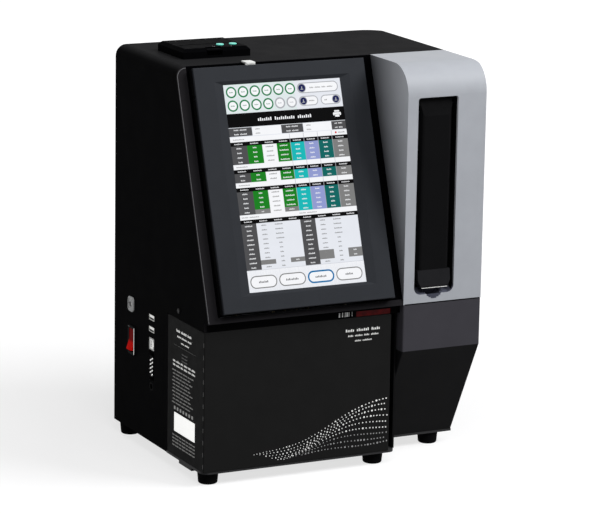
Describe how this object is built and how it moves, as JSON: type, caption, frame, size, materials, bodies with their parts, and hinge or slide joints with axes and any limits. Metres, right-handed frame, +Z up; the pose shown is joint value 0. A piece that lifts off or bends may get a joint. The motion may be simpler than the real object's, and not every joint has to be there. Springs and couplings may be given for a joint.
{
  "type": "blood gas analyzer",
  "caption": "Bench-top blood gas analyzer with a leaning touch-screen door, a sampler tower, a slide-in reagent pack and a roof printer.",
  "frame": {"origin": "middle of the footprint, on the bench", "axes": "+X to the viewer's right, +Z up, the screen faces -Y"},
  "size_m": [0.3254, 0.2496, 0.4414],
  "materials": {
    "cover_black": "fine matt",
    "sheet_metal": "satin",
    "tower_dark": "fine matt",
    "tower_silver": "metallic satin",
    "bezel_slate": "fine matt",
    "black_plastic": "matt",
    "screen_glass": "clear",
    "screen_panel": "lit",
    "window_red": "deep red filter",
    "rubber_black": "matt",
    "pack_print": "printed board",
    "bag_film": "soft film",
    "steel": "bright",
    "white_plastic": "satin",
    "switch_red": "translucent red",
    "lamp_teal": "lit",
    "board_green": "solder mask",
    "block_alloy": "milled",
    "cell_clear": "clear moulding",
    "clamp_blue": "satin",
    "pump_grey": "satin",
    "tube_clear": "silicone",
    "jack_black": "gloss",
    "inlet_white": "satin",
    "paper_white": "uncoated"
  },
  "bodies": {
    "chassis": {"base_pan": "sheet_metal", "feet": "rubber_black", "pack_guides": "sheet_metal", "main_cover": "cover_black", "rear_panel": "cover_black", "inner_upright": "sheet_metal", "bay_liner": "sheet_metal", "pack_couplings": "steel", "front_beam": "cover_black", "scan_window": "window_red", "barcode_reader": "black_plastic", "tower_lower": "tower_dark", "tower_cover": "tower_silver", "sampler_recess": "tower_dark", "wash_well": "white_plastic", "tower_divider": "sheet_metal", "bay_panel": "sheet_metal", "measuring_block": "block_alloy", "sensor_cells": "cell_clear", "pump_cups": "pump_grey", "pump_tubes": "tube_clear", "pump_motors": "block_alloy", "selector_valve": "white_plastic", "link_tubes": "tube_clear", "door_hinge_ears": "steel", "main_board": "board_green", "usb_ports": "steel", "lan_port": "white_plastic", "serial_port": "steel", "aux_jack": "jack_black", "dc_inlet": "inlet_white", "switch_frame": "black_plastic", "printer_frame": "black_plastic", "print_head": "black_plastic", "fan_frame": "black_plastic", "case_screws": "steel"},
    "pack": {"pack_case": "pack_print", "pack_manifold": "black_plastic", "reagent_bags": "bag_film"},
    "door": {"display_bezel": "bezel_slate", "display_glass": "screen_glass", "lcd_panel": "screen_panel", "display_back": "black_plastic", "door_hinge_pins": "steel", "touch_board": "board_green", "door_tab": "white_plastic"},
    "flap": {"sampler_flap": "black_plastic"},
    "probe": {"probe_holder": "white_plastic", "sample_needle": "steel"},
    "clamp": {"cell_clamp": "clamp_blue"},
    "rotor_left": {"pump_rotor_left": "pump_grey"},
    "rotor_right": {"pump_rotor_right": "pump_grey"},
    "rocker": {"power_rocker": "switch_red"},
    "lid": {"printer_lid": "black_plastic"},
    "platen": {"platen_roller": "rubber_black"},
    "roll": {"paper_roll": "paper_white"},
    "feed_key": {"feed_button": "lamp_teal"},
    "status_key": {"status_button": "lamp_teal"},
    "lever": {"release_lever": "black_plastic"},
    "fan": {"fan_rotor": "black_plastic"}
  },
  "joints": [
    {"name": "pack_slide", "type": "slide", "parent": "chassis", "child": "pack", "axis": [0, -1, 0], "range_m": [0, 0.12]},
    {"name": "door_hinge", "type": "hinge", "parent": "chassis", "child": "door", "pos_m": [-0.13879, -0.07699, 0.30712], "axis": [0, -0.3272, -0.9449], "range_deg": [0, 90]},
    {"name": "flap_hinge", "type": "hinge", "parent": "chassis", "child": "flap", "pos_m": [0.10536, -0.10863, 0.388], "axis": [-1, 0, 0], "range_deg": [0, 75]},
    {"name": "probe_swing", "type": "hinge", "parent": "chassis", "child": "probe", "pos_m": [0.10536, -0.09263, 0.3705], "axis": [-1, 0, 0], "range_deg": [0, 30]},
    {"name": "clamp_turn", "type": "hinge", "parent": "chassis", "child": "clamp", "pos_m": [0.01141, -0.03794, 0.33889], "axis": [0, 0.9449, -0.3272], "range_deg": [0, 90]},
    {"name": "pump_spin_left", "type": "hinge", "parent": "chassis", "child": "rotor_left", "pos_m": [-0.08559, -0.04879, 0.222], "axis": [0, -0.9449, 0.3272], "continuous": true},
    {"name": "pump_spin_right", "type": "hinge", "parent": "chassis", "child": "rotor_right", "pos_m": [-0.00159, -0.04879, 0.222], "axis": [0, -0.9449, 0.3272], "continuous": true},
    {"name": "rocker_tilt", "type": "hinge", "parent": "chassis", "child": "rocker", "pos_m": [-0.15259, 0.07507, 0.1149], "axis": [0, -1, 0], "range_deg": [0, 18]},
    {"name": "printer_lid_hinge", "type": "hinge", "parent": "chassis", "child": "lid", "pos_m": [-0.09219, 0.06567, 0.4371], "axis": [-1, 0, 0], "range_deg": [0, 75]},
    {"name": "platen_spin", "type": "hinge", "parent": "lid", "child": "platen", "pos_m": [-0.09219, 0.03987, 0.4342], "axis": [-1, 0, 0], "continuous": true},
    {"name": "roll_spin", "type": "hinge", "parent": "chassis", "child": "roll", "pos_m": [-0.09219, 0.05162, 0.413], "axis": [-1, 0, 0], "continuous": true},
    {"name": "feed_button_slide", "type": "slide", "parent": "chassis", "child": "feed_key", "axis": [0, 0, -1], "range_m": [0, 0.0012], "stiffness_N_per_m": 400, "springref_m": -0.0005},
    {"name": "status_button_slide", "type": "slide", "parent": "chassis", "child": "status_key", "axis": [0, 0, -1], "range_m": [0, 0.0012], "stiffness_N_per_m": 400, "springref_m": -0.0005},
    {"name": "release_lever_hinge", "type": "hinge", "parent": "chassis", "child": "lever", "pos_m": [-0.09459, 0.01207, 0.4347], "axis": [1, 0, 0], "range_deg": [0, 15], "stiffness_Nm_per_rad": 0.05},
    {"name": "fan_spin", "type": "hinge", "parent": "chassis", "child": "fan", "pos_m": [0.07841, 0.10987, 0.33], "axis": [0, 1, 0], "continuous": true}
  ],
  "couplings": [
    {"joint": "probe_swing", "follows": "flap_hinge", "ratio": 0.4}
  ]
}
